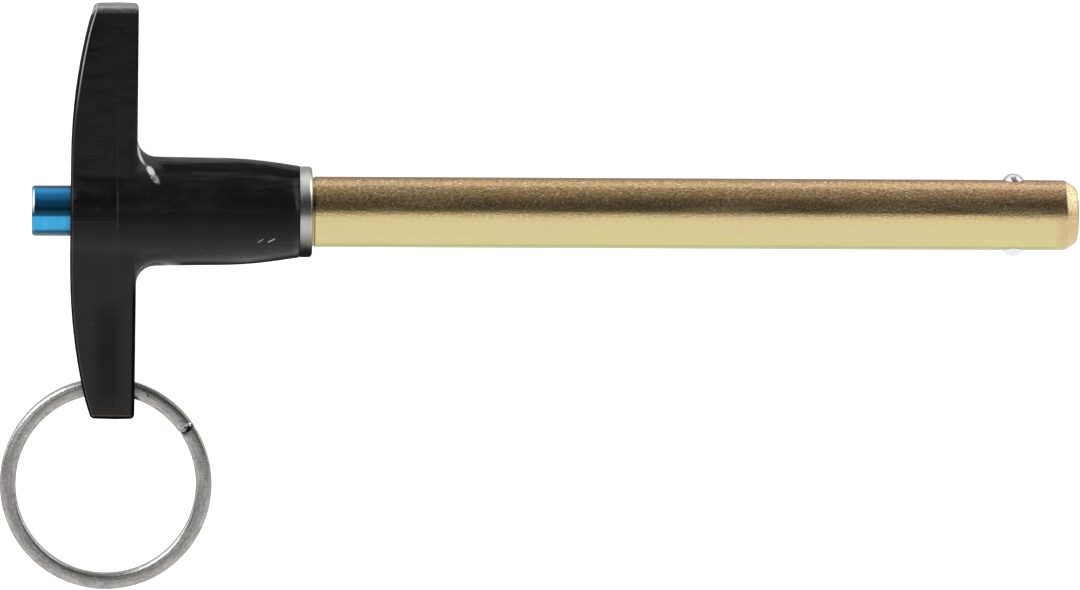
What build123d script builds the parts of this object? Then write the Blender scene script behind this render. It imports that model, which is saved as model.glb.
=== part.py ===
from build123d import *
import os
from math import asin, atan, atan2, cos, degrees, hypot, radians, sin, sqrt, tan

# A 3/8 inch ball lock pin with a T handle, lying on a table as it comes to rest.
# The pin's axis is the X axis, the shoulder that stops it against a panel is at X = 0, and the
# tip points along +X. All sizes are in millimetres.

# Shank: a plated steel tube, moulded into the handle behind the shoulder
SHANK_R = 4.75
SHANK_TIP_X = 102.9
SHANK_BACK_X = -21.0
TIP_CHAMFER_LENGTH = 1.7
TIP_FACE_R = 3.67
TIP_BEVEL = 0.25
BORE_R = 2.75
BORE_END_X = 101.0
SPRING_POCKET_R = 3.25
SPRING_SEAT_X = -13.0
ANCHOR_GROOVE_XS = (-18.0, -9.0)
ANCHOR_GROOVE_WIDTH = 1.6
ANCHOR_GROOVE_DEPTH = 0.5
COLLAR_LEAD_X = -0.6
RELIEF_START = (-0.05, 4.70)
RELIEF_FLOOR = (0.12, 4.57)
RELIEF_END_X = 0.30
GRIP_END_X = 92.6
NOSE_R = 4.72

# Locking balls: 1/8 inch, in two staked holes on opposite sides of the shank
BALL_R = 1.5875
BALL_X = 94.5
BALL_OUT = 4.04
BALL_TRAVEL = 0.96
BALL_HOLE_R = 1.625
STAKED_LIP_R = 1.46
STAKED_LIP_DEPTH = 0.4

# Plunger: the button and the spindle that it pushes
PRESS_TRAVEL = 3.0
ROD_R = 2.70
ROD_START_X = -12.8
LAND_R = 2.42
END_STOP_LENGTH = 2.2
NECK_R = 1.6
BUTTON_R = 3.39
BUTTON_END_X = -37.65
BUTTON_INNER_X = -24.65
BUTTON_WALL = 3.0
BUTTON_BEVEL = 0.22
RAMP_GAP = 0.03
BALL_GAP = 0.05

# Spring round the spindle's neck
SPRING_WIRE = 0.45
SPRING_OUTER_R = 3.15
SPRING_TURNS = 5

# Collar: the steel ring that faces the handle and forms the shoulder
COLLAR_R = 6.1
COLLAR_LENGTH = 1.68
COLLAR_BEVEL = 0.3

# Handle: one moulding, with its parting plane square to the pin
PALM_X = -32.45
PARTING_X = -26.2
ARM_INNER_X = -23.6
ARM_HALF_SPAN = 27.9
ARM_HALF_DEPTH_CENTRE = 6.2
ARM_HALF_DEPTH_END = 3.1
ARM_DRAFT_DEG = 1.5
ARM_EDGE_R = 0.6
PALM_FLAT = 6.7
PALM_ARC_R = 79.5
PALM_KNEE = 25.3
PALM_END_SLOPE_DEG = 17.0
PALM_BEVEL = 0.3
HUB_FRONT_R = 6.17
HUB_KNEE = (-8.7, 7.15)
HUB_KNEE_BLEND_R = 55.0
HUB_MAX_R = 7.40
HUB_PALM_R = 7.30
JUNCTION_R = 2.6
BUTTON_HOLE_R = 3.47
BUTTON_HOLE_CHAMFER = 0.3
RING_HOLE_Y = -23.7
RING_HOLE_R = 2.0
RING_HOLE_CHAMFER = 0.25

# Split ring: two turns of one flat wire, joined by a short crossing
RING_R = 13.17
RING_CENTRE_X = -27.55
WIRE_WIDTH = 2.15
WIRE_HEIGHT = 1.13
WIRE_BEVEL = 0.33
TURN_GAP = 0.04
CROSSING_AT_DEG = 32.0
CROSSING_SPAN_DEG = 15.0
TIP_GAP_DEG = 1.5
RING_SAG_SHIFT = -0.10

AXIAL_CUT = 40.0


def resting_angle(reach, half_height, drop):
    """Angle in degrees at which a bar's lower corner has sunk by drop below its pivot."""
    return degrees(asin(drop / hypot(reach, half_height)) - atan2(half_height, reach))


# The hub and the end of the lower arm touch the table, so the handle is rolled about the pin.
# The arm touches with its rounded corner, whose centre lies the rounding inside both of its faces.
ARM_SLOPE = (ARM_HALF_DEPTH_CENTRE - ARM_HALF_DEPTH_END) / ARM_HALF_SPAN
CORNER_REACH = ARM_HALF_SPAN - ARM_EDGE_R
CORNER_HALF_DEPTH = ARM_HALF_DEPTH_END + ARM_EDGE_R * (ARM_SLOPE - hypot(1, ARM_SLOPE))
HANDLE_ROLL = resting_angle(CORNER_REACH, CORNER_HALF_DEPTH, HUB_MAX_R - ARM_EDGE_R)
ROLLED = Rot(X=HANDLE_ROLL)


def turned(outline):
    """A solid turned about the pin's axis from (x, r) corners."""
    return revolve(Plane.XZ * make_face(Polyline(*outline, close=True)), Axis.X)


def ring_edges(part, x, r):
    """The circular edges of a turned part at a given place along the axis and radius."""
    return part.edges().filter_by(GeomType.CIRCLE).filter_by(
        lambda edge: abs(edge.center().X - x) < 0.01 and abs(edge.radius - r) < 0.01)


# ---------------------------------------------------------------- shank

def ball_hole():
    """Cutter for one ball hole: a drilled hole that the staked lip narrows at the surface."""
    outline = [(0, 0), (BALL_HOLE_R, 0), (BALL_HOLE_R, SHANK_R - STAKED_LIP_DEPTH),
               (STAKED_LIP_R, SHANK_R), (STAKED_LIP_R, SHANK_R + 1), (0, SHANK_R + 1)]
    hole = revolve(make_face(Polyline(*outline, close=True)), Axis.Y)
    return Pos(X=BALL_X) * hole


def shank_outside():
    """The tube's outer form, with a lead for the collar and a relief groove at the shoulder.

    Past the grip it slims by a hair, so that the staked nose never drags.
    """
    nose_end_x = SHANK_TIP_X - TIP_CHAMFER_LENGTH
    rod = turned([(SHANK_BACK_X, 0), (SHANK_BACK_X, SHANK_R), (COLLAR_LEAD_X, SHANK_R), RELIEF_START,
                  RELIEF_FLOOR, (RELIEF_END_X, SHANK_R), (GRIP_END_X, SHANK_R),
                  (nose_end_x, NOSE_R), (SHANK_TIP_X, TIP_FACE_R), (SHANK_TIP_X, 0)])
    rod = chamfer(ring_edges(rod, SHANK_TIP_X, TIP_FACE_R), TIP_BEVEL)
    for x in ANCHOR_GROOVE_XS:
        rod -= turned([(x, SHANK_R - ANCHOR_GROOVE_DEPTH), (x, SHANK_R + 1),
                       (x + ANCHOR_GROOVE_WIDTH, SHANK_R + 1),
                       (x + ANCHOR_GROOVE_WIDTH, SHANK_R - ANCHOR_GROOVE_DEPTH)])
    return rod


def make_shank():
    bores = turned([(SHANK_BACK_X - 1, 0), (SHANK_BACK_X - 1, SPRING_POCKET_R),
                    (SPRING_SEAT_X, SPRING_POCKET_R), (SPRING_SEAT_X, BORE_R),
                    (BORE_END_X, BORE_R), (BORE_END_X, 0)])
    hole = ball_hole()
    return shank_outside() - bores - hole - Rot(X=180) * hole


def make_collar():
    ring = turned([(-COLLAR_LENGTH, SHANK_R), (-COLLAR_LENGTH, COLLAR_R),
                   (0, COLLAR_R), (0, SHANK_R)])
    return chamfer(ring_edges(ring, 0, COLLAR_R), COLLAR_BEVEL)


# ---------------------------------------------------------------- handle

def arms_block():
    """Both arms as a bar that thins towards its ends, drafted each way from the parting plane."""
    corners = [(0, ARM_HALF_DEPTH_CENTRE), (-ARM_HALF_SPAN, ARM_HALF_DEPTH_END),
               (-ARM_HALF_SPAN, -ARM_HALF_DEPTH_END), (0, -ARM_HALF_DEPTH_CENTRE),
               (ARM_HALF_SPAN, -ARM_HALF_DEPTH_END), (ARM_HALF_SPAN, ARM_HALF_DEPTH_END)]
    outline = make_face(Polyline(*corners, close=True))
    end_corners = outline.vertices().filter_by(lambda vertex: abs(vertex.X) > ARM_HALF_SPAN - 1)
    parting = Plane(origin=(PARTING_X, 0, 0), x_dir=(0, 1, 0), z_dir=(1, 0, 0))
    section = parting * fillet(end_corners, ARM_EDGE_R)
    bar = Part()
    for end_x, parting_side in ((ARM_INNER_X, parting), (-AXIAL_CUT, -parting)):
        half = extrude(section, amount=end_x - PARTING_X)
        sides = half.faces().filter_by(lambda face: abs(face.normal_at().X) < 0.01)
        bar += draft(sides, parting_side, ARM_DRAFT_DEG)
    inner_rim = bar.edges().filter_by_position(Axis.X, ARM_INNER_X - 0.01, ARM_INNER_X + 0.01)
    return fillet(inner_rim, ARM_EDGE_R)


def hub_block():
    """The round hub, tapering to the collar and running on through the arms to the palm."""
    outline = [(-AXIAL_CUT, 0), (-COLLAR_LENGTH, 0), (-COLLAR_LENGTH, HUB_FRONT_R), HUB_KNEE,
               (PARTING_X, HUB_MAX_R), (-AXIAL_CUT, HUB_PALM_R)]
    section = make_face(Polyline(*outline, close=True))
    knee = section.vertices().sort_by_distance(HUB_KNEE)[0]
    return revolve(Plane.XZ * fillet(knee, HUB_KNEE_BLEND_R), Axis.X)


def palm_depth(y):
    """How far the palm face at y stands forward of its flat middle."""
    bent = min(max(abs(y) - PALM_FLAT, 0), PALM_KNEE - PALM_FLAT)
    past_knee = max(abs(y) - PALM_KNEE, 0)
    arc = PALM_ARC_R - sqrt(PALM_ARC_R ** 2 - bent ** 2)
    return arc + past_knee * tan(radians(PALM_END_SLOPE_DEG))


def palm_cutter():
    """Everything forward of the palm face: flat in the middle, an arc to each side, then a knee."""
    reach = ARM_HALF_SPAN + 4
    half = []
    for side in (1, -1):
        flat_end, arc_middle, knee, tip = (
            (PALM_X + palm_depth(y), side * y)
            for y in (PALM_FLAT, (PALM_FLAT + PALM_KNEE) / 2, PALM_KNEE, reach))
        half.append(Wire([ThreePointArc(flat_end, arc_middle, knee).edge(), Line(knee, tip).edge(),
                          Line(tip, (0, side * reach)).edge()]))
    joins = [Line((PALM_X, PALM_FLAT), (PALM_X, -PALM_FLAT)).edge(),
             Line((0, reach), (0, -reach)).edge()]
    outline = Wire(list(half[0].edges()) + list(half[1].edges()) + joins)
    return extrude(make_face(outline), amount=AXIAL_CUT / 2, both=True)


def palm_outline(edge):
    """Whether an edge bounds the palm face, and isn't one of the smooth seams across it."""
    points = [edge.position_at(share) for share in (0.1, 0.5, 0.9)]
    in_face = all(abs(p.X - PALM_X - palm_depth(p.Y)) < 0.02 for p in points)
    across = abs(edge.tangent_at(0.5).Z) > 0.99 and abs(points[1].Y) < ARM_HALF_SPAN - 1
    return in_face and not across


def ring_hole():
    """Cutter for the ring's hole, flared where it opens at the arm's front."""
    flare = RING_HOLE_R + RING_HOLE_CHAMFER
    return Pos(Y=RING_HOLE_Y) * turned([
        (-AXIAL_CUT, 0), (-AXIAL_CUT, RING_HOLE_R), (ARM_INNER_X - RING_HOLE_CHAMFER, RING_HOLE_R),
        (ARM_INNER_X, flare), (ARM_INNER_X + 1, flare), (ARM_INNER_X + 1, 0)])


def make_handle():
    arms = arms_block()
    hub = hub_block()
    body = arms + hub
    junction = new_edges(arms, hub, combined=body).filter_by(
        lambda edge: edge.center().X > 1 - AXIAL_CUT)
    body = fillet(junction, JUNCTION_R)
    body = body & palm_cutter()
    body = chamfer(body.edges().filter_by(palm_outline), PALM_BEVEL)
    body -= shank_outside()
    body -= turned([(PALM_X - 1, 0), (PALM_X - 1, BUTTON_HOLE_R + BUTTON_HOLE_CHAMFER + 1),
                    (PALM_X + BUTTON_HOLE_CHAMFER, BUTTON_HOLE_R), (SHANK_BACK_X, BUTTON_HOLE_R),
                    (SHANK_BACK_X, 0)])
    body -= ring_hole()
    return ROLLED * body


# ---------------------------------------------------------------- plunger, balls and spring

def make_spindle():
    """Rod with the cam that frees the balls: a pocket, a ramp up to the land, and an end stop."""
    ramp_rise = BALL_TRAVEL / PRESS_TRAVEL
    ball_in = BALL_OUT - BALL_TRAVEL
    pocket_x = BALL_X - PRESS_TRAVEL
    pocket_arc_r = BALL_R + BALL_GAP
    pocket_r = ball_in - pocket_arc_r
    ramp_r_at_ball = BALL_OUT - (BALL_R + RAMP_GAP) / cos(atan(ramp_rise))
    ramp_start_x = BALL_X + (pocket_r - ramp_r_at_ball) / ramp_rise
    ramp_end_x = BALL_X + (LAND_R - ramp_r_at_ball) / ramp_rise
    stop_x = BALL_X + sqrt(BALL_R ** 2 - (BALL_OUT - ROD_R) ** 2) + BALL_GAP
    pocket_edge_x = pocket_x - sqrt(pocket_arc_r ** 2 - (ball_in - ROD_R) ** 2)
    quarter = radians(45)
    arc_middle = (pocket_x - pocket_arc_r * sin(quarter), ball_in - pocket_arc_r * cos(quarter))
    start_x = BUTTON_END_X + BUTTON_WALL
    bevel = 0.3
    before = Polyline((pocket_edge_x, ROD_R), (ROD_START_X, ROD_R), (ROD_START_X, NECK_R),
                      (start_x, NECK_R), (start_x, 0), (stop_x + END_STOP_LENGTH, 0),
                      (stop_x + END_STOP_LENGTH, ROD_R - bevel),
                      (stop_x + END_STOP_LENGTH - bevel, ROD_R), (stop_x, ROD_R),
                      (stop_x, LAND_R), (ramp_end_x, LAND_R), (ramp_start_x, pocket_r),
                      (pocket_x, pocket_r))
    pocket = ThreePointArc((pocket_x, pocket_r), arc_middle, (pocket_edge_x, ROD_R))
    return revolve(Plane.XZ * make_face(Wire(list(before.edges()) + list(pocket.edges()))), Axis.X)


def make_button():
    """Turned cap with a blind socket for the spindle's neck."""
    socket_end = BUTTON_END_X + BUTTON_WALL
    cap = turned([(BUTTON_END_X, 0), (BUTTON_END_X, BUTTON_R), (BUTTON_INNER_X, BUTTON_R),
                  (BUTTON_INNER_X, NECK_R), (socket_end, NECK_R), (socket_end, 0)])
    return chamfer(ring_edges(cap, BUTTON_END_X, BUTTON_R), BUTTON_BEVEL)


def make_ball(side):
    return Pos(BALL_X, side * BALL_OUT, 0) * Sphere(BALL_R)


def make_spring():
    """Compression spring of square wire between the button and the shank's step, ground flat."""
    length = SPRING_SEAT_X - BUTTON_INNER_X
    coil_r = SPRING_OUTER_R - SPRING_WIRE / 2
    pitch = length / SPRING_TURNS
    path = Helix(pitch=pitch, height=length + 2 * SPRING_WIRE, radius=coil_r,
                 center=(BUTTON_INNER_X - SPRING_WIRE, 0, 0), direction=(1, 0, 0))
    section = Plane(origin=path @ 0, z_dir=path % 0) * Rectangle(SPRING_WIRE, SPRING_WIRE)
    wire = sweep(section, path=path, is_frenet=True)
    middle = (BUTTON_INNER_X + SPRING_SEAT_X) / 2
    return wire & Pos(X=middle) * Box(length, 4 * SPRING_OUTER_R, 4 * SPRING_OUTER_R)


# ---------------------------------------------------------------- split ring

def wire_section(angle_deg, height):
    """The flat wire's bevelled section, square to the ring at an angle and a height."""
    across = Vector(cos(radians(angle_deg)), sin(radians(angle_deg)), 0)
    along = Vector(-across.Y, across.X, 0)
    plane = Plane(origin=across * RING_R + Vector(0, 0, height), x_dir=across, z_dir=along)
    flat = Rectangle(WIRE_WIDTH, WIRE_HEIGHT)
    return plane * chamfer(flat.vertices(), WIRE_BEVEL)


def make_split_ring():
    """Two turns of wire: an upper turn, the crossing that steps down, and a lower turn."""
    level = (WIRE_HEIGHT + TURN_GAP) / 2
    crossing_start = CROSSING_AT_DEG - CROSSING_SPAN_DEG / 2
    crossing_end = CROSSING_AT_DEG + CROSSING_SPAN_DEG / 2
    turn = 360 - CROSSING_SPAN_DEG - TIP_GAP_DEG
    upper = revolve(wire_section(crossing_start, level), Axis.Z, -turn)
    lower = revolve(wire_section(crossing_end, -level), Axis.Z, turn)
    shares = [step / 6 for step in range(7)]
    crossing = loft([wire_section(crossing_start + share * CROSSING_SPAN_DEG,
                                  level * cos(radians(180 * share))) for share in shares])
    return upper + crossing + lower


def placed_ring(ring):
    """The ring hangs in its hole and slopes down to the table beyond the arm's end."""
    hole = Vector(0, RING_HOLE_Y * cos(radians(HANDLE_ROLL)), RING_HOLE_Y * sin(radians(HANDLE_ROLL)))
    offset = RING_R - RING_SAG_SHIFT
    reach = offset + RING_R + WIRE_WIDTH / 2 - WIRE_BEVEL
    half_height = WIRE_HEIGHT + TURN_GAP / 2
    slope = resting_angle(reach, half_height, HUB_MAX_R + hole.Z)
    towards_hole = Vector(0, cos(radians(slope)), sin(radians(slope)))
    centre = hole - towards_hole * offset
    return Pos(RING_CENTRE_X, centre.Y, centre.Z) * Rot(X=slope) * ring


nodes = {
    "handle": make_handle(),
    "collar": make_collar(),
    "shank": make_shank(),
    "spindle": make_spindle(),
    "button": make_button(),
    "spring": make_spring(),
    "locking_ball_1": make_ball(1),
    "locking_ball_2": make_ball(-1),
    "split_ring": placed_ring(make_split_ring()),
}

os.makedirs("parts", exist_ok=True)
for name, solid in nodes.items():
    export_step(solid, f"parts/{name}.step")
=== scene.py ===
import bmesh
import bpy
import math
import numpy as np
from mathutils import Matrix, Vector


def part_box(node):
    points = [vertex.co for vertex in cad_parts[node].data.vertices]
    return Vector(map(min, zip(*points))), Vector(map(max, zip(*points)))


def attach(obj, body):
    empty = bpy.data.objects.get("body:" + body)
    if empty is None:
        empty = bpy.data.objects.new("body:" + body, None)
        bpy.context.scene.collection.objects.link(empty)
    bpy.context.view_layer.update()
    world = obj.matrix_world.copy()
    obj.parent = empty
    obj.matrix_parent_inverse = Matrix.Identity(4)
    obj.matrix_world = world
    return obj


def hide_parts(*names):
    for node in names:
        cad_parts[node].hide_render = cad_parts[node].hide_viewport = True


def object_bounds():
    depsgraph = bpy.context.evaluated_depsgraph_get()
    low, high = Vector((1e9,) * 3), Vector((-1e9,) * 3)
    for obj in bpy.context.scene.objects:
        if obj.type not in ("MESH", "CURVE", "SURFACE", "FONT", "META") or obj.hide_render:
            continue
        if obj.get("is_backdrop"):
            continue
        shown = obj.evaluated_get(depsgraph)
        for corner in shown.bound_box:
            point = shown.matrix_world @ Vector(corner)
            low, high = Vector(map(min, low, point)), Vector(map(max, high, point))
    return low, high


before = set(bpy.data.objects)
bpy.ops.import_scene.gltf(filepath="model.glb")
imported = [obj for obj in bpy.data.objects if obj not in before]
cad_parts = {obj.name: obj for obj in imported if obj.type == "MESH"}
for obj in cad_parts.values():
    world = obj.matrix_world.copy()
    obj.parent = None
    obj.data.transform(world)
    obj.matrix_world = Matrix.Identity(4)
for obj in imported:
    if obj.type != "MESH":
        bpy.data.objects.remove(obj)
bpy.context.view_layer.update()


# ---------------------------------------------------------------- table top and light
# A plain white table under one wide softbox that stands on the -Y side and ends above the pin. The
# other side of the room is dark above and brighter towards the horizon, with two low windows and
# one round lamp that give the metal its bright lines.

class Value:
    """A number or colour inside a shader tree. Arithmetic on it adds the Math nodes."""

    def __init__(self, tree, socket):
        self.tree = tree
        self.socket = socket

    def math(self, operation, *operands):
        """The result of one Math node that works on the operands."""
        node = self.tree.nodes.new("ShaderNodeMath")
        node.operation = operation
        for slot, operand in zip(node.inputs, operands):
            connect(self.tree, slot, operand)
        return Value(self.tree, node.outputs[0])

    def __add__(self, other):
        return self.math("ADD", self, other)

    def __radd__(self, other):
        return self.math("ADD", other, self)

    def __sub__(self, other):
        return self.math("SUBTRACT", self, other)

    def __rsub__(self, other):
        return self.math("SUBTRACT", other, self)

    def __mul__(self, other):
        return self.math("MULTIPLY", self, other)

    def __rmul__(self, other):
        return self.math("MULTIPLY", other, self)

    def __truediv__(self, other):
        return self.math("DIVIDE", self, other)

    def __pow__(self, other):
        return self.math("POWER", self, other)

    def __abs__(self):
        return self.math("ABSOLUTE", self)

    def at_least(self, other):
        """The larger of the two."""
        return self.math("MAXIMUM", self, other)

    def at_most(self, other):
        """The smaller of the two."""
        return self.math("MINIMUM", self, other)


def connect(tree, slot, value):
    """Feed a socket from a Value, or set it to a plain number, colour or vector."""
    if isinstance(value, Value):
        tree.links.new(value.socket, slot)
    else:
        slot.default_value = value


class Shader:
    """The node tree of one material or of the world, built by calls that read as expressions."""

    def __init__(self, owner):
        owner.use_nodes = True
        self.tree = owner.node_tree
        self.tree.nodes.clear()

    def node(self, kind, settings=None, output=0, **sockets):
        """Add a node: settings first, then its sockets by name, with _ for a space."""
        node = self.tree.nodes.new("ShaderNode" + kind)
        for name, setting in (settings or {}).items():
            setattr(node, name, setting)
        for name, value in sockets.items():
            slot = node.inputs[int(name[1:])] if name[0] == "i" and name[1:].isdigit() else \
                node.inputs[name.replace("_", " ")]
            connect(self.tree, slot, value)
        return Value(self.tree, node.outputs[output])

    def ramp(self, value, *stops, smooth=True):
        """Map a number onto colours, given as (position, (r, g, b)) stops."""
        node = self.tree.nodes.new("ShaderNodeValToRGB")
        node.color_ramp.interpolation = "EASE" if smooth else "LINEAR"
        elements = node.color_ramp.elements
        while len(elements) < len(stops):
            elements.new(0.5)
        for element, (position, colour) in zip(elements, stops):
            element.position = position
            element.color = (*colour, 1)
        connect(self.tree, node.inputs[0], value)
        return Value(self.tree, node.outputs[0])

    def step(self, value, low, high):
        """0 below low, 1 above high, and a smooth rise between them."""
        return self.node("MapRange", {"interpolation_type": "SMOOTHSTEP"}, Value=value,
                         From_Min=low, From_Max=high)

    def mix(self, factor, first, second):
        """The first colour where the factor is 0, the second where it is 1."""
        node = self.tree.nodes.new("ShaderNodeMix")
        node.data_type = "RGBA"
        connect(self.tree, node.inputs[0], factor)
        for slot, colour in ((node.inputs[6], first), (node.inputs[7], second)):
            connect(self.tree, slot, colour if isinstance(colour, Value) else (*colour, 1))
        return Value(self.tree, node.outputs[2])

    def place(self, scale=(1, 1, 1), offset=(0, 0, 0), turn=(0, 0, 0)):
        """The point on the object, in metres, stretched, moved and turned."""
        return self.node("Mapping", Vector=self.node("TexCoord", output=3), Scale=scale,
                         Location=offset, Rotation=turn)

    def part(self, vector, axis):
        """One of a vector's three numbers: 0 for X, 1 for Y and 2 for Z."""
        return self.node("SeparateXYZ", Vector=vector, output=axis)

    def noise(self, vector, detail=3.0, roughness=0.5):
        """Soft random blotches between 0 and 1, one unit of the vector apart."""
        return self.node("TexNoise", Vector=vector, Scale=1.0, Detail=detail, Roughness=roughness)

    def end(self, shader, kind="Material"):
        """Send a finished shader to the output."""
        node = self.tree.nodes.new("ShaderNodeOutput" + kind)
        self.tree.links.new(shader.socket, node.inputs[0])


FLOOR_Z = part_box("handle")[0].z
FLOOR_HALF = 4.0
FLOOR_COLOUR = (0.80, 0.80, 0.80, 1)
FLOOR_SEEN = 0.85
FLOOR_IN_METAL = 0.05
FLOOR_LIT_SIDE = 0.70
FLOOR_FAR_SIDE = 0.50
WORLD_STRENGTH = 2.0
WINDOW_LEVEL = 3.0
WINDOW_ASIDE = (0.30, 0.55)
WINDOW_TOWARDS_Y = (0.0, 0.2)
WINDOW_TOP = (0.25, 0.50)
LAMP_LEVEL = 3.0
LAMP_TOWARDS = (-0.50, 0.55, 0.67)
LAMP_EDGE = (0.955, 0.985)
# The light by its angle from straight up, in degrees, from the dark horizon to the lit one
ROOM = [(-90, 0.62), (-74, 0.50), (-58, 0.38), (-44, 0.24), (-30, 0.10), (-17, 0.10), (-5, 0.17),
        (2, 0.42), (8, 0.95), (16, 1.32), (30, 1.42), (48, 1.44), (90, 1.44)]

corners = [(-FLOOR_HALF, -FLOOR_HALF), (FLOOR_HALF, -FLOOR_HALF), (FLOOR_HALF, FLOOR_HALF),
           (-FLOOR_HALF, FLOOR_HALF)]
floor_mesh = bpy.data.meshes.new("table_top")
floor_mesh.from_pydata([(x, y, FLOOR_Z) for x, y in corners], [], [(0, 1, 2, 3)])
floor = bpy.data.objects.new("table_top", floor_mesh)
bpy.context.scene.collection.objects.link(floor)
floor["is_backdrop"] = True
floor_finish = bpy.data.materials.new("white_table")
shader = Shader(floor_finish)
camera_ray = shader.node("LightPath", output=0)
metal_ray = shader.node("LightPath", output=3)
table_y = shader.part(shader.place(), 1)
lit_side = shader.step(0 - table_y, 0.0, 0.012) * FLOOR_LIT_SIDE
far_side = shader.step(table_y, 0.008, 0.03) * FLOOR_FAR_SIDE
strength = camera_ray * FLOOR_SEEN + metal_ray * (lit_side + far_side + FLOOR_IN_METAL)
glow = shader.node("Emission", Color=(1, 1, 1, 1), Strength=strength)
board = shader.node("BsdfDiffuse", Color=FLOOR_COLOUR)
shader.end(shader.node("AddShader", i0=board, i1=glow))
floor_mesh.materials.append(floor_finish)

world = bpy.data.worlds.new("studio")
bpy.context.scene.world = world
shader = Shader(world)
direction = shader.node("TexCoord", output=0)
towards_y = shader.part(direction, 1)
up = shader.part(direction, 2)
from_above = towards_y.math("ARCTAN2", 0 - towards_y, up) / math.pi + 0.5
room = shader.ramp(from_above, *[(angle / 180 + 0.5, (level / WORLD_STRENGTH,) * 3)
                                 for angle, level in ROOM], smooth=False)
aside = shader.part(direction, 0)
windows = shader.step(abs(aside), *WINDOW_ASIDE) * shader.step(towards_y, *WINDOW_TOWARDS_Y) \
    * (1 - shader.step(up, *WINDOW_TOP))
room = shader.mix(windows, room, (WINDOW_LEVEL / WORLD_STRENGTH,) * 3)
lamp = shader.node("VectorMath", {"operation": "DOT_PRODUCT"}, output=1, i0=direction,
                   i1=LAMP_TOWARDS)
room = shader.mix(shader.step(lamp, *LAMP_EDGE), room, (LAMP_LEVEL / WORLD_STRENGTH,) * 3)
seen = shader.mix(shader.node("LightPath", output=0), room, (1 / WORLD_STRENGTH,) * 3)
shader.end(shader.node("Background", Color=seen, Strength=WORLD_STRENGTH), "World")


# ---------------------------------------------------------------- camera
# Over the pin's button end, a good metre and a half up, and turned a little to look along the pin.
# The shank runs to the right, and drops by a quarter of a degree.

CAMERA_PLACE = (-0.0376, -0.01132, 1.57)
VIEW_CENTRE_X = 0.0306
VIEW_WIDTH = 0.14505
VIEW_ROLL_DEG = 0.25
SENSOR_WIDTH = 36.0

sideways = VIEW_CENTRE_X - CAMERA_PLACE[0]
distance = math.hypot(sideways, CAMERA_PLACE[2])
camera_data = bpy.data.cameras.new("camera")
camera_data.sensor_width = SENSOR_WIDTH
camera_data.lens = SENSOR_WIDTH * distance / VIEW_WIDTH
camera_data.clip_end = 100
camera = bpy.data.objects.new("camera", camera_data)
camera.location = CAMERA_PLACE
camera.rotation_euler = (0, -math.asin(sideways / distance), math.radians(VIEW_ROLL_DEG))
bpy.context.scene.collection.objects.link(camera)
bpy.context.scene.camera = camera
bpy.context.scene.view_settings.view_transform = "Standard"


# ---------------------------------------------------------------- shank
# A steel tube with a blind bore, ground, zinc plated and yellow passivated. The nose is closed and
# chamfered, and two holes for the locking balls are drilled through its wall and staked. At rest
# the staked lips bite 0.05 mm into the balls.

MM = 0.001
SHANK_R = 4.75
TIP_X = 102.9
TIP_CHAMFER = 1.7
TIP_FACE_R = 3.67
BORE_R = 2.75
BORE_END_X = 101.0
POCKET_R = 3.25
POCKET_END_X = -13.0
BACK_X = -21.0
BALL_X = 94.28
BALL_HOLE_R = 1.625
LIP_R = 1.46
STAKED_DEPTH = 0.45
BAND = (91.5, 97.5)
AROUND = 160
WELD = 1e-6


def softened(corners, radii, steps=8):
    """Points along an outline whose corners are replaced by arcs of the given radii.

    Each arc is the quadratic curve between its two tangent points, drawn towards the corner.
    """
    points = np.asarray(corners, float)
    line = [points[:1]]
    share = np.linspace(0, 1, steps)[:, None]
    for before, here, after, radius in zip(points, points[1:], points[2:], radii):
        back, ahead = before - here, after - here
        back_length, ahead_length = np.linalg.norm(back), np.linalg.norm(ahead)
        half_turn = math.acos(np.clip(back @ ahead / back_length / ahead_length, -1, 1)) / 2
        reach = min(radius / math.tan(half_turn), 0.49 * back_length, 0.49 * ahead_length)
        start, end = here + back / back_length * reach, here + ahead / ahead_length * reach
        line.append((1 - share) ** 2 * start + 2 * share * (1 - share) * here + share ** 2 * end)
    line.append(points[-1:])
    return np.concatenate(line)


def turned(outline, around=AROUND):
    """Grid of points from an (x, r) outline carried once round the X axis, in millimetres."""
    angle = np.linspace(0, 2 * math.pi, around + 1)[None, :]
    x, r = outline[:, :1], outline[:, 1:]
    return np.stack([x + 0 * angle, r * np.cos(angle), r * np.sin(angle)], -1)


def holed_band(radius, hole_radius, side, rows=14):
    """Half of a tube with a round hole in its middle, as a grid from the hole's rim outwards.

    A point goes in a straight line, in the flattened half, from the rim to the half's border.
    """
    along, half = AROUND // 8, AROUND // 2
    start, end = BAND
    across = np.linspace(-math.pi / 2, math.pi / 2, half + 1)
    lengthwise = np.linspace(start, end, along + 1)
    border_x = np.concatenate([np.full(half, end), lengthwise[:0:-1], np.full(half, start),
                               lengthwise[:-1]])
    border_angle = np.concatenate([across[:-1], np.full(along, math.pi / 2), across[:0:-1],
                                   np.full(along, -math.pi / 2)])
    turn = np.arctan2(border_angle / (math.pi / 2), (border_x - BALL_X) / ((end - start) / 2))
    rim_x = BALL_X + hole_radius * np.cos(turn)
    rim_angle = np.arcsin(hole_radius * np.sin(turn) / radius)
    share = (np.linspace(0, 1, rows) ** 1.5)[:, None]
    x = rim_x + (border_x - rim_x) * share
    angle = rim_angle + (border_angle - rim_angle) * share
    grid = np.stack([x, side * radius * np.cos(angle), radius * np.sin(angle)], -1)
    return np.concatenate([grid, grid[:, :1]], 1)


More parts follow.
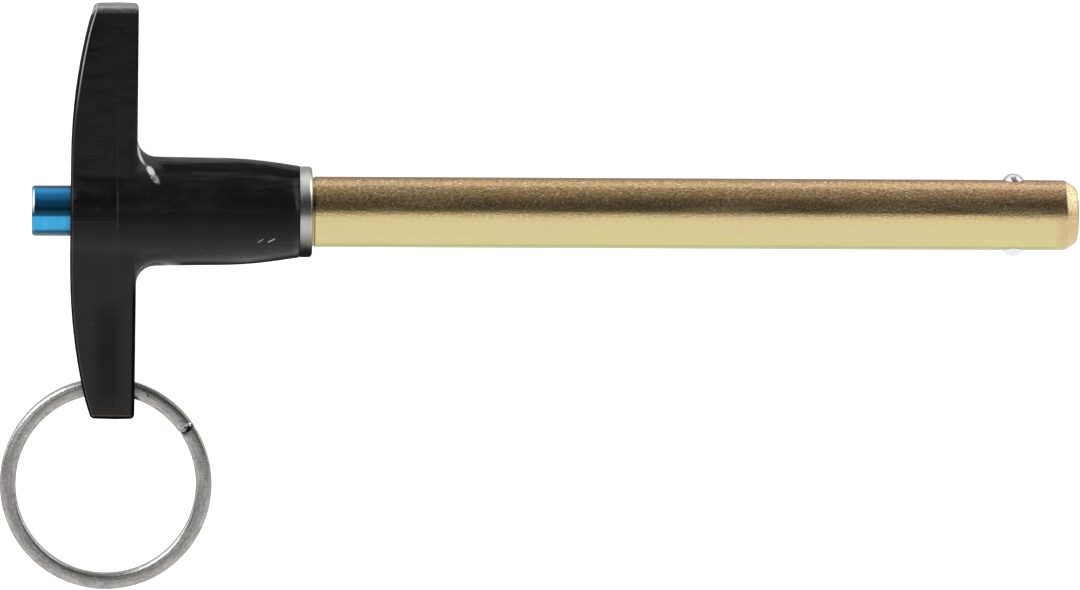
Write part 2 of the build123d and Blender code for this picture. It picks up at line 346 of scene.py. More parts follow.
def mesh_piece(name, grids):
    """One mesh object from grids of points in millimetres, with equal points joined."""
    vertices, faces = [], []
    count = 0
    for grid in grids:
        rows, columns = grid.shape[:2]
        index = count + np.arange(rows * columns).reshape(rows, columns)
        faces.append(np.stack([index[:-1, :-1], index[:-1, 1:], index[1:, 1:], index[1:, :-1]],
                              -1).reshape(-1, 4))
        vertices.append(grid.reshape(-1, 3) * MM)
        count += rows * columns
    mesh = bpy.data.meshes.new(name)
    mesh.from_pydata(np.concatenate(vertices), [], np.concatenate(faces))
    work = bmesh.new()
    work.from_mesh(mesh)
    bmesh.ops.remove_doubles(work, verts=work.verts, dist=WELD)
    bmesh.ops.dissolve_degenerate(work, edges=work.edges, dist=WELD / 2)
    bmesh.ops.recalc_face_normals(work, faces=work.faces)
    work.to_mesh(mesh)
    work.free()
    mesh.shade_smooth()
    piece = bpy.data.objects.new(name, mesh)
    bpy.context.scene.collection.objects.link(piece)
    return piece


front = softened([(BAND[1], SHANK_R), (TIP_X - TIP_CHAMFER, 4.72), (TIP_X, TIP_FACE_R), (TIP_X, 0)],
                 (0.8, 1.1))
rear = softened([(BACK_X, POCKET_R), (BACK_X, SHANK_R), (-0.02, SHANK_R), (0.03, 4.62), (0.12, 4.57),
                 (0.22, 4.62), (0.30, SHANK_R), (BAND[0], SHANK_R)],
                (0.1, 0.02, 0.03, 0.06, 0.06, 0.02))
bore_front = softened([(BAND[1], BORE_R), (BORE_END_X, BORE_R), (BORE_END_X, 0)], (0.1,))
bore_rear = softened([(BACK_X, POCKET_R), (POCKET_END_X, POCKET_R), (POCKET_END_X, BORE_R),
                      (BAND[0], BORE_R)], (0.1, 0.05))
grids = [turned(front), turned(rear), turned(bore_front), turned(bore_rear)]
for side in (1, -1):
    outer = holed_band(SHANK_R, LIP_R, side)
    inner = holed_band(BORE_R, BALL_HOLE_R, side)
    widened = (outer[0] - (BALL_X, 0, 0)) * (BALL_HOLE_R / LIP_R, 0, BALL_HOLE_R / LIP_R)
    throat = widened + (BALL_X, side * (SHANK_R - STAKED_DEPTH), 0)
    grids += [outer, inner, np.stack([outer[0], throat, inner[0]])]
shank = mesh_piece("shank_tube", grids)
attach(shank, "pin")
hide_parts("shank")


def line_at(place, middle, half_width):
    """1 on a thin line where a place along one axis equals middle, falling smoothly to 0."""
    return 1 - shader.step(abs(place - middle), half_width * 0.3, half_width)


def between(place, low, high, edge=0.00008):
    """1 between two places along one axis, with smooth edges."""
    return shader.step(place, low - edge, low + edge) * (1 - shader.step(place, high - edge,
                                                                         high + edge))


OLIVE_GOLD = (0.475, 0.413, 0.206)
TAN_GOLD = (0.57, 0.375, 0.15)
ROSE_GOLD = (0.85, 0.45, 0.29)
DULL_OLIVE = (0.40, 0.35, 0.19)
DARK_SPECK = (0.16, 0.11, 0.05)
PALE_SPECK = (0.98, 0.90, 0.78)
BROWN_BAND = (0.15, 0.10, 0.05)
DARK_BAND = (0.05, 0.033, 0.016)
TOP_LINE = (0.86, 0.62, 0.36)
TOP_EDGE = (0.27, 0.14, 0.045)
WARM_CLOUD = (0.49, 0.395, 0.235)
GREEN_SIDE = (0.38, 0.36, 0.13)
GREEN_EDGE = (0.24, 0.26, 0.06)
CREAM = (0.98, 0.83, 0.50)
PINK_TAN = (0.44, 0.31, 0.175)

plating = bpy.data.materials.new("yellow_zinc")
shader = Shader(plating)
point = shader.place()
x_place = shader.part(point, 0)
y_place = shader.part(point, 1)
cloud = shader.noise(shader.place(scale=(60, 400, 400)), 4)
fine = shader.noise(shader.place(scale=(2200, 3600, 3600)), 4, 0.7)
spots = shader.noise(shader.place(scale=(2000, 3000, 3000), offset=(3, 1, 2)), 3, 0.6)
streak = shader.noise(shader.place(scale=(160, 2400, 2400), turn=(0, 0, 0.02)), 3, 0.55)
# Painted reflection: the +Y side, which faces the dark half of the room, gets its own tan plating
# colour with rose and dull olive blotches
tan_side = shader.step(y_place + (cloud - 0.5) * 0.003, -0.002, 0.003)
nose = shader.step(x_place + (cloud - 0.5) * 0.03, 0.055, 0.095)
colour = shader.mix(tan_side, OLIVE_GOLD, TAN_GOLD)
colour = shader.mix(tan_side * shader.step(fine, 0.46, 0.57) * (nose * 0.75 + 0.25), colour,
                    ROSE_GOLD)
colour = shader.mix(tan_side * shader.step(cloud, 0.48, 0.60) * 0.35, colour, DULL_OLIVE)
colour = shader.mix(shader.step(spots, 0.53, 0.60) * (tan_side * 0.72 + 0.02), colour,
                    DARK_SPECK)
# Painted glints: pale specks on the +Y side
colour = shader.mix((1 - shader.step(spots, 0.35, 0.40)) * tan_side * 0.85, colour,
                    PALE_SPECK)
# Light and shade painted in by place: a dark band along the tube, and bright and brown edge lines
deep = shader.step(y_place + (cloud - 0.5) * 0.0012, -0.0004, 0.0003) \
    * (1 - shader.step(y_place, 0.0027, 0.0042))
deepest = between(y_place, 0.0006, 0.0022, 0.0006)
colour = shader.mix(deep * 0.60, colour, BROWN_BAND)
colour = shader.mix(deepest * (0.35 + shader.step(fine, 0.45, 0.55) * 0.25), colour,
                    DARK_BAND)
colour = shader.mix(line_at(y_place, 0.0038, 0.0005) * 0.35, colour, TOP_LINE)
colour = shader.mix(shader.step(y_place, 0.0042, 0.0046) * 0.75, colour, TOP_EDGE)
colour = shader.mix((1 - tan_side) * shader.step(cloud, 0.46, 0.58) * 0.5, colour,
                    WARM_CLOUD)
# Painted reflection: a green tint towards the -Y side and a darker green line along its edge
colour = shader.mix(shader.step(0 - y_place, 0.0028, 0.0042) * 0.35, colour, GREEN_SIDE)
colour = shader.mix(shader.step(0 - y_place, 0.0041, 0.0045) * 0.85, colour, GREEN_EDGE)
# Painted highlight: the chamfer and nose face turn cream on the +Y side
chamfer = shader.step(x_place, (TIP_X - TIP_CHAMFER - 0.1) * MM, (TIP_X - TIP_CHAMFER + 0.1) * MM)
colour = shader.mix(chamfer * tan_side * (0.5 + shader.step(fine, 0.42, 0.55) * 0.4), colour,
                    CREAM)
# Painted reflection: the nose turns pink tan on the -Y side
nose_end = shader.step(x_place + (cloud - 0.5) * 0.002, 0.0993, 0.1008)
colour = shader.mix(nose_end * (1 - tan_side) * (0.35 + shader.step(fine, 0.45, 0.55) * 0.55),
                    colour, PINK_TAN)
relief = shader.node("Bump", Strength=0.8, Distance=0.00016,
                     Height=fine * (tan_side * 0.92 + 0.08) + streak * 0.12)
shader.end(shader.node("BsdfPrincipled", Base_Color=colour, Metallic=1.0,
                       Roughness=0.13 + fine * 0.08, Normal=relief))
shank.data.materials.append(plating)


# ---------------------------------------------------------------- collar
# A turned ring of bare steel, pressed over the shank against the hub. Its front face is the
# shoulder, and its rim is rounded.

COLLAR_R = 6.1
COLLAR_BACK_X = -1.86
COLLAR_FRONT_X = -0.07
COLLAR_BORE_R = 4.755
SEAM_X = -0.8
collar = mesh_piece("collar_ring", [turned(softened(
    [(SEAM_X, COLLAR_BORE_R), (COLLAR_BACK_X, COLLAR_BORE_R), (COLLAR_BACK_X, COLLAR_R),
     (COLLAR_FRONT_X, COLLAR_R), (COLLAR_FRONT_X, COLLAR_BORE_R), (SEAM_X, COLLAR_BORE_R)],
    (0.05, 0.12, 0.55, 0.06)))])
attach(collar, "pin")
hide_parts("collar")

bare_steel = bpy.data.materials.new("turned_steel")
shader = Shader(bare_steel)
lines = shader.noise(shader.place(scale=(5000, 60, 60)), 3, 0.6)
stain = shader.noise(shader.place(scale=(900, 900, 900)), 3)
y_place = shader.part(shader.place(), 1)
x_place = shader.part(shader.place(), 0)
# Light and shade painted in by height across the ring, from its dark underside to its bright top
tone = shader.ramp(y_place / 0.0128 + 0.5 + (lines - 0.5) * 0.05,
                   (0.03, (0.002, 0.002, 0.002)), (0.10, (0.010, 0.009, 0.008)),
                   (0.15, (0.065, 0.060, 0.053)), (0.21, (0.19, 0.18, 0.17)),
                   (0.31, (0.36, 0.35, 0.34)), (0.39, (0.375, 0.365, 0.355)),
                   (0.43, (0.32, 0.31, 0.30)), (0.475, (0.14, 0.14, 0.14)),
                   (0.60, (0.17, 0.17, 0.17)), (0.66, (0.42, 0.42, 0.40)),
                   (0.72, (0.78, 0.78, 0.76)), (0.80, (0.96, 0.96, 0.93)),
                   (0.86, (0.56, 0.56, 0.53)), (0.92, (0.34, 0.34, 0.32)),
                   (0.98, (0.45, 0.45, 0.43)), smooth=False)
stripe = shader.step(lines, 0.45, 0.60)
colour = shader.mix(stripe * 0.16, tone, (0.16, 0.155, 0.15))
colour = shader.mix(shader.step(stain, 0.5, 0.75) * 0.25, colour, (0.20, 0.19, 0.17))
relief = shader.node("Bump", Strength=0.5, Distance=0.00002, Height=lines)
steel = shader.node("BsdfPrincipled", Base_Color=colour, Metallic=1.0,
                    Roughness=0.24 + lines * 0.14, Normal=relief)
shade = shader.node("BsdfDiffuse", Color=(0.006, 0.006, 0.006, 1))
shaded = shader.step(0 - y_place, 0.0040, 0.0056) * 0.95
shaded = shaded.at_least((1 - shader.step(x_place, -0.00180, -0.00170)) * 0.9)
shader.end(shader.node("MixShader", i0=shaded, i1=steel, i2=shade))
collar.data.materials.append(bare_steel)


# ---------------------------------------------------------------- locking balls
# Two polished bearing balls that the staked rims of their holes hold in.

BALL_R = 1.5875
BALL_OUT = 4.04

polished = bpy.data.materials.new("polished_ball")
shader = Shader(polished)
haze = shader.noise(shader.place(scale=(1500, 1500, 1500)), 3)
shader.end(shader.node("BsdfPrincipled", Metallic=1.0, Roughness=0.05 + haze * 0.06,
                       Base_Color=shader.mix(haze, (0.62, 0.62, 0.64), (0.54, 0.54, 0.55))))
for number, side in ((1, 1), (2, -1)):
    meridian = np.linspace(0, math.pi, 41)
    arc = np.stack([-BALL_R * np.cos(meridian), BALL_R * np.sin(meridian)], 1)
    ball = mesh_piece(f"ball_{number}_polished", [turned(arc, 64) + (BALL_X, side * BALL_OUT, 0)])
    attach(ball, f"ball_{number}")
    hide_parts(f"locking_ball_{number}")
    ball.data.materials.append(polished)


# ---------------------------------------------------------------- handle
# One moulding of black glass-filled nylon: a round hub and two arms, satin from the mould, with
# light scuffs from handling. The shank is moulded into it.

HANDLE_ROLL_DEG = 8.9955
PALM_X = -32.45
PALM_FLAT = 6.7
PALM_ARC_R = 79.5
PALM_KNEE = 25.3
PALM_END_SLOPE_DEG = 17.0
ARM_INNER_X = -23.6
ARM_LEAN = 0.006
FRONT_FROM_X = -4.0
FRONT_BLEND = 2.0
FRONT_SHIFT = 0.16
# From here on places are in metres, as a material's own coordinates are
PARTING_X = -0.0262
INSERT_X = (-0.0334, PARTING_X)
INSERT_Y = (-0.0016, 0.0025)
FAINT_LINE = 0.00009
UPPER_FILLET = (-0.0195, 0.00864)
UPPER_FILLET_GLINT_R = 0.00394
LOWER_FILLET = (-0.0210, -0.0099)

NYLON_DARK = (0.0048, 0.0048, 0.0052)
NYLON_LIGHT = (0.0068, 0.0068, 0.0072)
INSERT_BLACK = (0.0028, 0.0028, 0.0030)
UPPER_BLACK = (0.0015, 0.0015, 0.0018)
DUST = (0.09, 0.09, 0.09)
SEAM_GREY = (0.10, 0.092, 0.08)
SCRATCH_GREY = (0.55, 0.55, 0.55)
GLEAM_WHITE = (0.85, 0.85, 0.86)
PALE_EDGE = (0.52, 0.44, 0.39)
BROWN_EDGE = (0.085, 0.048, 0.030)
END_HIGHLIGHT_GREY = (0.30, 0.30, 0.29)
RIM_BLACK = (0.0015, 0.0015, 0.0017, 1)
SHEEN_GREY = (0.27, 0.27, 0.26, 1)

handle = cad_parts["handle"]
nylon = bpy.data.materials.new("black_nylon")
shader = Shader(nylon)
point = shader.place()
x_place = shader.part(point, 0)
y_place = shader.part(point, 1)
grain = shader.noise(shader.place(scale=(3500, 3500, 3500)), 4, 0.6)
patch = shader.noise(shader.place(scale=(250, 420, 420)), 5, 0.6)
flow = shader.noise(shader.place(scale=(160, 500, 500)), 4, 0.6)
speck = shader.noise(shader.place(scale=(1600, 1600, 1600)), 2, 0.5)


def about(x, y, turn):
    """The places along and across a direction on the top side, counted from a point."""
    here = shader.place(offset=(-x * math.cos(-turn) + y * math.sin(-turn),
                                -x * math.sin(-turn) - y * math.cos(-turn), 0),
                        turn=(0, 0, -turn))
    return (shader.part(here, 0),
            shader.part(here, 1))


def distance_to(x, y):
    """The distance, seen from the top, to a point given by its X and Y."""
    along, across = about(x, y, 0)
    return (along ** 2 + across ** 2) ** 0.5


def scratch(x, y, length, turn):
    """1 on a short straight scratch about a point on the top side, turned by an angle."""
    along, across = about(x, y, turn)
    return between(along, -length / 2, length / 2, 0.0001) * line_at(across, 0, FAINT_LINE) * top_side


def spot(x, y, length, width, turn):
    """1 in the middle of a turned ellipse on the top side, falling smoothly to 0 at its border."""
    along, across = about(x, y, turn)
    away = along * along * (4 / length ** 2) + across * across * (4 / width ** 2)
    return (1 - shader.step(away, 0.1, 1.0)) * top_side


height = shader.part(point, 2)
top_side = shader.step(height, 0.0015, 0.0025)
insert = between(x_place, *INSERT_X) * between(y_place, *INSERT_Y)
insert_rim = line_at(x_place, PARTING_X, FAINT_LINE) * between(y_place, -0.0024, 0.0025) * 0.9 \
    + line_at(y_place, INSERT_Y[0], FAINT_LINE) * between(x_place, *INSERT_X) * 0.5
parting = line_at(x_place, PARTING_X, 0.00010) * 0.25
marks = scratch(-0.00707, -0.00395, 0.0008, 0.55) * 0.6 + scratch(-0.0056, -0.0039, 0.0010, 0.45)
level_place = shader.place(turn=(-math.radians(HANDLE_ROLL_DEG), 0, 0))
along_arm = abs(shader.part(level_place, 1))
bent = (along_arm - PALM_FLAT * MM).at_least(0).at_most((PALM_KNEE - PALM_FLAT) * MM)
past_knee = (along_arm - PALM_KNEE * MM).at_least(0)
palm_depth = PALM_ARC_R * MM - ((PALM_ARC_R * MM) ** 2 - bent * bent) ** 0.5 \
    + past_knee * math.tan(math.radians(PALM_END_SLOPE_DEG))
from_palm = x_place - PALM_X * MM - palm_depth
# Light and shade painted in by place: dark strips along the edges, under the hub and in the lower
# fillet, shade and dark streaks on the hub, a darker upper arm, pale and brown edge lines, and a
# white highlight at the upper fillet
upper = shader.step(y_place, 0.010, 0.020)
lower = shader.step(0 - y_place, 0.008, 0.012)
far_end = shader.step(y_place + (patch - 0.5) * 0.0006, 0.0261, 0.0264)
beyond_parting = shader.step(x_place, PARTING_X - 0.0001, PARTING_X + 0.0001)
from_palm = from_palm - shader.step(y_place, 0.006, 0.018) * 0.00018
# Painted shade: dark strips along the palm edge, the arms' inner edges and the lower arm's end
palm_strip = (1 - shader.step(from_palm, 0.00008, 0.00018)) * (1 - far_end)
palm_line = line_at(from_palm, 0.00025, 0.00013)
inner_strip = shader.step(x_place - y_place * ARM_LEAN + lower * 0.00012,
                          ARM_INNER_X * MM - 0.00040, ARM_INNER_X * MM - 0.00028) \
    * (upper * 0.7 + lower)
hub_radius = shader.node("MapRange", Value=x_place, From_Min=-0.0087, From_Max=-0.00168,
                         To_Min=0.0073, To_Max=0.0062)
# Painted shade along the hub's -Y edge
hub_under = shader.step(0 - y_place - hub_radius, -0.0009, -0.0003) \
    * shader.step(x_place, -0.0200, -0.0170)
end_strip = shader.step(along_arm, 0.0274, 0.0275) * lower
end_line = line_at(along_arm, 0.0273, 0.00012) * lower
middle = line_at(x_place, -0.0274, 0.0024) * between(y_place, -0.0255, -0.0130, 0.0020)
hub_height = y_place / hub_radius
on_hub = shader.step(x_place, -0.0212, -0.0195)
# Painted shade: dark streaks across the hub
hub_shade_streak = shader.noise(shader.place(scale=(140, 1700, 1700)), 4, 0.6)
hub_shade = shader.step(0 - y_place, -0.0002, 0.0006) \
    * (1 - shader.step(0 - y_place, 0.0008, 0.0050)) * 0.55 \
    + line_at(hub_height, 0.80, 0.13) * on_hub * 0.8 \
    + shader.step(hub_shade_streak, 0.45, 0.58) * between(hub_height, 0.35, 0.93, 0.03) * on_hub * 0.35
# Painted shade in the lower fillet between the arm and the hub
under_fillet = (1 - shader.step(distance_to(*LOWER_FILLET), 0.0027, 0.0032)) \
    * shader.step(y_place, -0.0105, -0.0090) * shader.step(0 - y_place, 0.0055, 0.0065)
# Painted highlight: a white crescent along the upper fillet and two spots beside it
crescent = line_at(distance_to(*UPPER_FILLET), UPPER_FILLET_GLINT_R, 0.00024) \
    * between(y_place, 0.0064, 0.0086, 0.0006) \
    * (1 - shader.step(x_place, -0.0222, -0.0215)) * top_side
gleam = crescent + spot(-0.0218, 0.0054, 0.0018, 0.0010, -0.95) \
    + spot(-0.0214, 0.0046, 0.0030, 0.0011, -0.95) * (0.10 + shader.step(grain, 0.44, 0.54) * 0.4)
gleam = gleam.at_most(1)
colour = shader.mix(patch, NYLON_DARK, NYLON_LIGHT)
colour = shader.mix(insert * 0.5, colour, INSERT_BLACK)
colour = shader.mix(shader.step(speck, 0.70, 0.80) * 0.25, colour, DUST)
colour = shader.mix(insert_rim * 0.5 + parting * 0.3, colour, SEAM_GREY)
colour = shader.mix(marks * 0.9, colour, SCRATCH_GREY)
# Painted shade: the upper arm is darker all over
colour = shader.mix(upper * 0.5, colour, UPPER_BLACK)
colour = shader.mix(gleam * 0.95, colour, GLEAM_WHITE)
# Painted highlights: a pale line along the upper arm's palm edge, and faint brown lines along the
# lower arm's palm edge and end
colour = shader.mix(palm_line * upper * 0.9, colour, PALE_EDGE)
colour = shader.mix((palm_line * (1 - upper) + end_line) * 0.6, colour, BROWN_EDGE)
mottled = shader.step(speck, 0.40, 0.60)
# Painted highlight: a mottled pale grey band along the top edge of the upper arm's end
end_place = y_place + (patch - 0.5) * 0.0004
end_edge_highlight = shader.step(end_place, 0.02615, 0.02665) * 0.22 + shader.step(end_place, 0.0266, 0.0272) * 0.7
end_edge_highlight = end_edge_highlight * shader.step(height, 0.0052, 0.0062)
colour = shader.mix(end_edge_highlight * (mottled * 0.4 + 0.8), colour, END_HIGHLIGHT_GREY)
relief = shader.node("Bump", Strength=0.8, Distance=0.0001,
                     Height=grain * 0.2 + patch * 1.0 + flow * 0.5 + insert * 0.3 + parting * 0.6)
plastic = shader.node("BsdfPrincipled", Base_Color=colour,
                      Roughness=0.14 + shader.step(patch, 0.35, 0.65) * 0.26,
                      Specular_IOR_Level=0.18, Normal=relief)
# Painted shade: the dark strips along the edges, under the hub, in the lower fillet and on the hub
# are mixed in as a near-black diffuse
rim = shader.node("BsdfDiffuse", Color=RIM_BLACK)
rims = palm_strip
for strip in (inner_strip, end_strip, hub_under, under_fillet * 0.75, middle * 0.45,
              hub_shade.at_most(0.85)):
    rims = rims.at_least(strip)
body = shader.node("MixShader", i0=rims * 0.92, i1=plastic, i2=rim)
# The upper arm's end face shines only at a grazing angle
sheen = shader.node("BsdfAnisotropic", Color=SHEEN_GREY, Roughness=0.5)
grazing = shader.step(shader.node("LayerWeight", Blend=0.5, output=1), 0.55, 0.80)
end_sheen = far_end * (mottled * 0.35 + 0.3 + beyond_parting * 0.35) * grazing
shader.end(shader.node("MixShader", i0=end_sheen, i1=body, i2=sheen))


def merged_copy(node, name):
    """A CAD node's mesh as a new object, its loose triangles joined and shaded smooth."""
    mesh = node.data.copy()
    mesh.name = name
    work = bmesh.new()
    work.from_mesh(mesh)
    bmesh.ops.remove_doubles(work, verts=work.verts, dist=1e-6)
    work.to_mesh(mesh)
    work.free()
    mesh.materials.clear()
    mesh.shade_smooth()
    mesh.set_sharp_from_angle(angle=math.radians(50))
    piece = bpy.data.objects.new(name, mesh)
    bpy.context.scene.collection.objects.link(piece)
    return piece


def draw_back(piece, shift):
    """Move each point of a piece along -X by shift(points), with the points in millimetres."""
    places = np.empty(len(piece.data.vertices) * 3)
    piece.data.vertices.foreach_get("co", places)
    places[::3] -= shift(places.reshape(-1, 3) / MM) * MM
    piece.data.vertices.foreach_set("co", places)


moulding = merged_copy(handle, "handle_moulding")
draw_back(moulding, lambda points: -ARM_LEAN * points[:, 1])
draw_back(moulding, lambda points: np.clip((points[:, 0] - FRONT_FROM_X) / FRONT_BLEND, 0, 1)
          * FRONT_SHIFT)
weighted = moulding.modifiers.new("even_shading", "WEIGHTED_NORMAL")
weighted.keep_sharp = True
moulding.data.materials.append(nylon)
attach(moulding, "pin")
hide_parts("handle")


# ---------------------------------------------------------------- button
# A turned aluminium button, anodised blue, fixed on the end of the spindle.

BUTTON_R = 3.39
BUTTON_END_X = -37.65
BUTTON_INNER_X = -24.65
button = mesh_piece("button_cap", [turned(softened(
    [(BUTTON_END_X, 0), (BUTTON_END_X, BUTTON_R), (BUTTON_INNER_X, BUTTON_R), (BUTTON_INNER_X, 0)],
    (0.50, 0.2)))])
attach(button, "plunger")
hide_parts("button")

BLUE = (0.030, 0.235, 0.43)
LIGHTER_BLUE = (0.044, 0.30, 0.53)
TURNED_BLUE = (0.06, 0.36, 0.60)
DEEPER_BLUE = (0.022, 0.20, 0.50)
NAVY = (0.004, 0.05, 0.14)
BLUE_BLACK = (0.006, 0.030, 0.070)
EDGE_BLUE = (0.006, 0.05, 0.11)
BEVEL_WHITE = (0.85, 0.93, 0.97)

anodised = bpy.data.materials.new("blue_anodised")
shader = Shader(anodised)
lines = shader.noise(shader.place(scale=(4500, 80, 80)), 3, 0.6)
patch = shader.noise(shader.place(scale=(700, 700, 700)), 3)
colour = shader.mix(patch, BLUE, LIGHTER_BLUE)
colour = shader.mix(shader.step(lines, 0.45, 0.62) * 0.4, colour, TURNED_BLUE)
y_place = shader.part(shader.place(), 1)
# Light and shade painted in by place: a deeper blue +Y half, a dark band along it, dark edges and a
# white bevel line
colour = shader.mix(shader.step(y_place, 0.0, 0.0006), colour,
                    shader.mix(0.6, colour, DEEPER_BLUE))
colour = shader.mix(between(y_place, 0.0003, 0.0015, 0.0003) * 0.60, colour, NAVY)
colour = shader.mix(between(y_place, -0.00078, 0.00045, 0.00015) * 0.90, colour, BLUE_BLACK)
edges = shader.step(y_place, 0.0029, 0.0032) + shader.step(0 - y_place, 0.0025, 0.0028)
colour = shader.mix(edges * 0.92, colour, EDGE_BLUE)
x_place = shader.part(shader.place(), 0)
bevel = line_at(x_place, (BUTTON_END_X + 0.24) * MM, 0.00018) \
    * between(y_place, -0.0001, 0.0028, 0.0004)
colour = shader.mix(bevel * 0.9, colour, BEVEL_WHITE)
relief = shader.node("Bump", Strength=0.5, Distance=0.00002, Height=lines)
shader.end(shader.node("BsdfPrincipled", Base_Color=colour, Metallic=1.0,
                       Roughness=0.24 + lines * 0.12, Normal=relief))
button.data.materials.append(anodised)


# ---------------------------------------------------------------- split ring
# Two turns of flat spring steel wire with a short crossing between them, nickel plated and
# tumbled dull. It hangs in the lower arm's hole and lies on the table.

RING_R = 13.17
WIRE_WIDTH = 2.15
WIRE_HEIGHT = 1.13
WIRE_ROUNDNESS = 2.3
TURN_GAP = 0.04
CROSSING_START = math.radians(32.4)
CROSSING_END = math.radians(34.2)
CROSSING_SKEW = math.radians(0.65)
TURN = math.radians(357.2)
RING_SLOPE = math.radians(5.381)


def wire_section(steps=48):
    """The wire's crowned section as (across, up) points: the superellipse
    |across / half width| ^ n + |up / half height| ^ n = 1, taken by angle."""
    turn = np.linspace(0, 2 * math.pi, steps + 1)
    cosine, sine = np.cos(turn), np.sin(turn)
    power = 2 / WIRE_ROUNDNESS
    return np.stack([WIRE_WIDTH / 2 * np.sign(cosine) * np.abs(cosine) ** power,
                     WIRE_HEIGHT / 2 * np.sign(sine) * np.abs(sine) ** power], 1)


def ring_wire():
    """The wire's grid: its section carried along two turns, one above the other.

    The height is level, then a half cosine down over the crossing, then level again. The crossing
    comes a little later on the outside of the wire than on the inside. At each end
    the section shrinks as a quarter circle does, over a quarter of a millimetre.
    """
    level = (WIRE_HEIGHT + TURN_GAP) / 2
    rounding = 0.25 / RING_R
    start, stop = CROSSING_START - TURN, CROSSING_END + TURN
    quarter = np.linspace(0, math.pi / 2, 6)
    cap = rounding * (1 - np.sin(quarter))
    angle = np.concatenate([start + cap, np.linspace(start + rounding, CROSSING_START, 300),
                            np.linspace(CROSSING_START, CROSSING_END, 40)[1:],
                            np.linspace(CROSSING_END, stop - rounding, 300)[1:],
                            (stop - cap)[::-1]])
    ends = np.minimum(angle - start, stop - angle).clip(0, rounding) / rounding
    shrink = np.sqrt(1 - (1 - ends) ** 2)[:, None]
    section = wire_section()
    aside = section[None, :, 0] / (WIRE_WIDTH / 2)
    share = (angle[:, None] - CROSSING_SKEW * aside - CROSSING_START) \
        / (CROSSING_END - CROSSING_START)
    height = level * np.cos(math.pi * np.clip(share, 0, 1))
    across = RING_R + section[None, :, 0] * shrink
    up = height + section[None, :, 1] * shrink
    flat = np.stack([across * np.cos(angle)[:, None], across * np.sin(angle)[:, None], up], -1)
    cosine, sine = math.cos(RING_SLOPE), math.sin(RING_SLOPE)
    sloped = flat @ np.array([[1, 0, 0], [0, cosine, sine], [0, -sine, cosine]])
    low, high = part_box("split_ring")
    return sloped + np.array((low + high) / 2) / MM


ring = mesh_piece("ring_wire", [ring_wire()])
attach(ring, "ring")
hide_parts("split_ring")

nickel = bpy.data.materials.new("dull_nickel")
shader = Shader(nickel)
low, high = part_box("split_ring")
middle = (low + high) / 2
turned_back = shader.node("Mapping", {"vector_type": "TEXTURE"}, Vector=shader.place(),
                          Location=tuple(middle), Rotation=(RING_SLOPE, 0, 0))
in_ring = [shader.part(turned_back, axis) for axis in (0, 1)]
radius = (in_ring[0] ** 2 + in_ring[1] ** 2) ** 0.5
middle_r = RING_R * MM
inner_r = (RING_R - WIRE_WIDTH / 2) * MM
outer_r = (RING_R + WIRE_WIDTH / 2) * MM
# Painted shade: darker along the wire's outer and inner edges
rims = shader.step(radius, outer_r - 0.0002, outer_r - 0.00004) \
    + 1 - shader.step(radius, inner_r + 0.00004, inner_r + 0.00016)
around = radius.math("ARCTAN2", in_ring[1], in_ring[0])
# Light painted in by place: bright stretches on the inside and the outside of the wire
highlight_inside = (between(around, -2.80, -0.45, 0.30) * 0.6 + between(around, -1.40, -0.45, 0.25)
                   * 0.5) * between(radius, inner_r + 0.00010, inner_r + 0.00075, 0.00015)
highlight_outside = between(around, 1.80, 2.75, 0.25) \
    * between(radius, outer_r - 0.00075, outer_r - 0.00020, 0.00012)


def mark(degrees, radius_mm, size_mm):
    """1 on a round mark on the ring, at an angle and a distance from its centre."""
    x, y = (radius_mm * MM * way(math.radians(degrees)) for way in (math.cos, math.sin))
    away = ((in_ring[0] - x) ** 2 + (in_ring[1] - y) ** 2) ** 0.5
    return 1 - shader.step(away, size_mm * MM * 0.25, size_mm * MM * 0.5)


blotch = shader.noise(shader.place(scale=(500, 500, 500)), 4, 0.65)
pits = shader.noise(shader.place(scale=(2600, 2600, 2600)), 4, 0.7)
drawn = shader.noise(shader.node("CombineXYZ", X=radius * 4200, Y=around * 7), 3, 0.6)
colour = shader.mix(shader.step(drawn, 0.38, 0.62), (0.36, 0.35, 0.34), (0.27, 0.26, 0.245))
colour = shader.mix(shader.step(blotch, 0.46, 0.62) * 0.35, colour, (0.20, 0.19, 0.175))
colour = shader.mix(shader.step(pits, 0.54, 0.64) * 0.35, colour, (0.10, 0.09, 0.08))
colour = shader.mix((1 - shader.step(pits, 0.38, 0.46)) * 0.3, colour, (0.50, 0.49, 0.48))
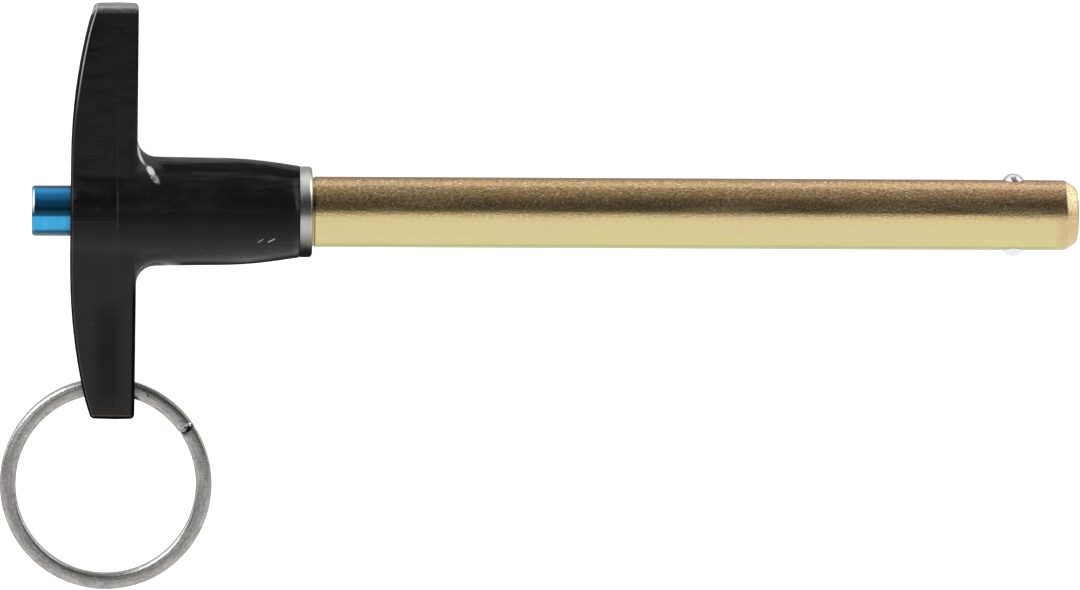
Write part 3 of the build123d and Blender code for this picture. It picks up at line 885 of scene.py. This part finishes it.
# Painted shade: darker along the middle of the wire
colour = shader.mix(line_at(radius, middle_r, 0.0009) * 0.28, colour, (0.15, 0.145, 0.14))
colour = shader.mix(highlight_inside * 0.5 + highlight_outside * 0.8, colour, (0.90, 0.90, 0.90))
colour = shader.mix(rims * 0.4, colour, (0.09, 0.08, 0.075))
# Painted shade: two dark spots in the gap at the wire's cut end; the spot at 65 degrees is dirt
dirt_and_crossing_shade = mark(35.9, 13.15, 0.42) + mark(33.9, 12.45, 0.30) + mark(65.0, 13.25, 0.40)
colour = shader.mix(dirt_and_crossing_shade * 0.85, colour, (0.012, 0.010, 0.008))
# Painted glints: white spots on the outer edge beside the wire's cut end
colour = shader.mix(mark(34.7, 13.80, 0.55) + mark(35.8, 14.0, 0.40), colour, (0.98, 0.98, 0.98))
relief = shader.node("Bump", Strength=0.6, Distance=0.00005,
                     Height=pits + blotch * 0.5 + drawn * 0.5)
shader.end(shader.node("BsdfPrincipled", Base_Color=colour, Metallic=1.0,
                       Roughness=0.18 + blotch * 0.14, Normal=relief))
ring.data.materials.append(nickel)


# ---------------------------------------------------------------- spindle and spring
# The stainless rod that works the balls, and the spring round its neck. Both stay inside the pin.
# The rod's cam end sits as far back as the balls do. The spring keeps its rest length in every
# pose, so the pressed button overlaps its end by 3 mm.

CAM_FROM_X = 60.0
CAM_SHIFT = 0.22

stainless = bpy.data.materials.new("bright_stainless")
shader = Shader(stainless)
lines = shader.noise(shader.place(scale=(5000, 60, 60)), 3, 0.6)
colour = shader.mix(lines, (0.58, 0.57, 0.56), (0.46, 0.46, 0.45))
shader.end(shader.node("BsdfPrincipled", Base_Color=colour, Metallic=1.0,
                       Roughness=0.22 + lines * 0.15))
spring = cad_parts["spring"]
spring.data.materials.clear()
spring.data.materials.append(stainless)

spindle = merged_copy(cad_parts["spindle"], "spindle_rod")
draw_back(spindle, lambda points: np.where(points[:, 0] > CAM_FROM_X, CAM_SHIFT, 0))
spindle.data.materials.append(stainless)
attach(spindle, "plunger")
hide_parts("spindle")


low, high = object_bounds()
